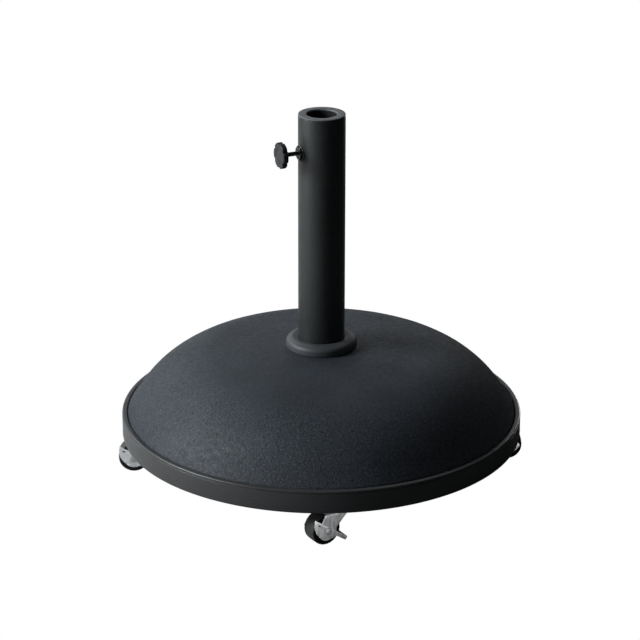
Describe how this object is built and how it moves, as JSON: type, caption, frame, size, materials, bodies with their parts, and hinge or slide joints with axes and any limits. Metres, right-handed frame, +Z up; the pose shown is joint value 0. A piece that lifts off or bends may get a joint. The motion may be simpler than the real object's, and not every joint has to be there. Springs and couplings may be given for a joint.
{
  "type": "parasol base",
  "caption": "Rolling parasol base: a domed concrete weight in a plastic tray on braked swivel casters, with a mast tube and a clamp knob.",
  "frame": {"origin": "on the floor, under the centre of the mast tube", "axes": "+Z up along the mast tube; -Y toward the viewer of the front caster, +X to its right"},
  "size_m": [0.5305, 0.5246, 0.4785],
  "materials": {
    "concrete": "fine speckled dark grey coating",
    "tray_plastic": "satin black moulded plastic",
    "tube_paint": "satin black powder coat",
    "collar_plastic": "satin black moulded plastic",
    "sleeve_plastic": "dark grey moulded plastic",
    "foot_steel": "black primer",
    "wire_steel": "dull mill finish",
    "fastener_zinc": "zinc plated",
    "insert_brass": "plain",
    "anchor_nylon": "grey nylon",
    "pad_nylon": "natural nylon",
    "knob_plastic": "satin black moulded plastic",
    "screw_steel": "black oxide steel",
    "ball_steel": "polished",
    "plate_zinc": "zinc plated pressed steel",
    "pin_zinc": "zinc plated rivet",
    "fork_zinc": "zinc plated pressed steel",
    "lever_zinc": "zinc plated pressed steel",
    "hub_nylon": "black nylon",
    "tyre_rubber": "black rubber, light dust on the tread"
  },
  "bodies": {
    "base": {"concrete_weight": "concrete", "reinforcing_mesh": "wire_steel", "base_tray": "tray_plastic", "mast_tube": "tube_paint", "foot_plate": "foot_steel", "foot_bolts": "fastener_zinc", "foot_inserts": "insert_brass", "collar": "collar_plastic", "reducer_sleeve": "sleeve_plastic", "clamp_nut": "tube_paint", "caster_screws": "fastener_zinc", "caster_anchors": "anchor_nylon", "swivel_balls": "ball_steel", "caster_plate_front": "plate_zinc", "caster_plate_right": "plate_zinc", "caster_plate_back": "plate_zinc", "caster_plate_left": "plate_zinc", "kingpin_front": "pin_zinc", "kingpin_right": "pin_zinc", "kingpin_back": "pin_zinc", "kingpin_left": "pin_zinc"},
    "clamp_pad": {"screw_pad": "pad_nylon"},
    "clamp_screw_and_knob": {"clamp_screw": "screw_steel", "clamp_knob": "knob_plastic"},
    "swivel_front": {"fork_front": "fork_zinc", "axle_front": "pin_zinc"},
    "wheel_front": {"tyre_front": "tyre_rubber", "hub_front": "hub_nylon"},
    "lever_front": {"brake_front": "lever_zinc"},
    "swivel_right": {"fork_right": "fork_zinc", "axle_right": "pin_zinc"},
    "wheel_right": {"tyre_right": "tyre_rubber", "hub_right": "hub_nylon"},
    "lever_right": {"brake_right": "lever_zinc"},
    "swivel_back": {"fork_back": "fork_zinc", "axle_back": "pin_zinc"},
    "wheel_back": {"tyre_back": "tyre_rubber", "hub_back": "hub_nylon"},
    "lever_back": {"brake_back": "lever_zinc"},
    "swivel_left": {"fork_left": "fork_zinc", "axle_left": "pin_zinc"},
    "wheel_left": {"tyre_left": "tyre_rubber", "hub_left": "hub_nylon"},
    "lever_left": {"brake_left": "lever_zinc"}
  },
  "joints": [
    {"name": "clamp_advance", "type": "slide", "parent": "base", "child": "clamp_pad", "axis": [-0.9135, -0.4067, 0], "range_m": [-0.011, 0.004]},
    {"name": "clamp_turn", "type": "hinge", "parent": "clamp_pad", "child": "clamp_screw_and_knob", "pos_m": [-0.02329, -0.01037, 0.4305], "axis": [-0.9135, -0.4067, 0], "range_deg": [-3955, 1435]},
    {"name": "swivel_front", "type": "hinge", "parent": "base", "child": "swivel_front", "pos_m": [0.02026, -0.22258, 0.042], "axis": [0, 0, 1], "continuous": true},
    {"name": "roll_front", "type": "hinge", "parent": "swivel_front", "child": "wheel_front", "pos_m": [0.00118, -0.2345, 0.02], "axis": [-0.5299, 0.848, 0], "continuous": true},
    {"name": "brake_front", "type": "hinge", "parent": "swivel_front", "child": "lever_front", "pos_m": [0.00118, -0.2345, 0.02], "axis": [-0.5299, 0.848, 0], "range_deg": [-20, 0]},
    {"name": "swivel_right", "type": "hinge", "parent": "base", "child": "swivel_right", "pos_m": [0.22258, 0.02026, 0.042], "axis": [0, 0, 1], "continuous": true},
    {"name": "roll_right", "type": "hinge", "parent": "swivel_right", "child": "wheel_right", "pos_m": [0.24508, 0.02026, 0.02], "axis": [0, -1, 0], "continuous": true},
    {"name": "brake_right", "type": "hinge", "parent": "swivel_right", "child": "lever_right", "pos_m": [0.24508, 0.02026, 0.02], "axis": [0, -1, 0], "range_deg": [-20, 0]},
    {"name": "swivel_back", "type": "hinge", "parent": "base", "child": "swivel_back", "pos_m": [-0.02026, 0.22258, 0.042], "axis": [0, 0, 1], "continuous": true},
    {"name": "roll_back", "type": "hinge", "parent": "swivel_back", "child": "wheel_back", "pos_m": [-0.0064, 0.24031, 0.02], "axis": [0.788, -0.6157, 0], "continuous": true},
    {"name": "brake_back", "type": "hinge", "parent": "swivel_back", "child": "lever_back", "pos_m": [-0.0064, 0.24031, 0.02], "axis": [0.788, -0.6157, 0], "range_deg": [-20, 0]},
    {"name": "swivel_left", "type": "hinge", "parent": "base", "child": "swivel_left", "pos_m": [-0.22258, -0.02026, 0.042], "axis": [0, 0, 1], "continuous": true},
    {"name": "roll_left", "type": "hinge", "parent": "swivel_left", "child": "wheel_left", "pos_m": [-0.24505, -0.02143, 0.02], "axis": [-0.0523, 0.9986, 0], "continuous": true},
    {"name": "brake_left", "type": "hinge", "parent": "swivel_left", "child": "lever_left", "pos_m": [-0.24505, -0.02143, 0.02], "axis": [-0.0523, 0.9986, 0], "range_deg": [-20, 0]}
  ],
  "couplings": [
    {"joint": "clamp_advance", "follows": "clamp_turn", "m_per_rad": 0.00015915}
  ]
}
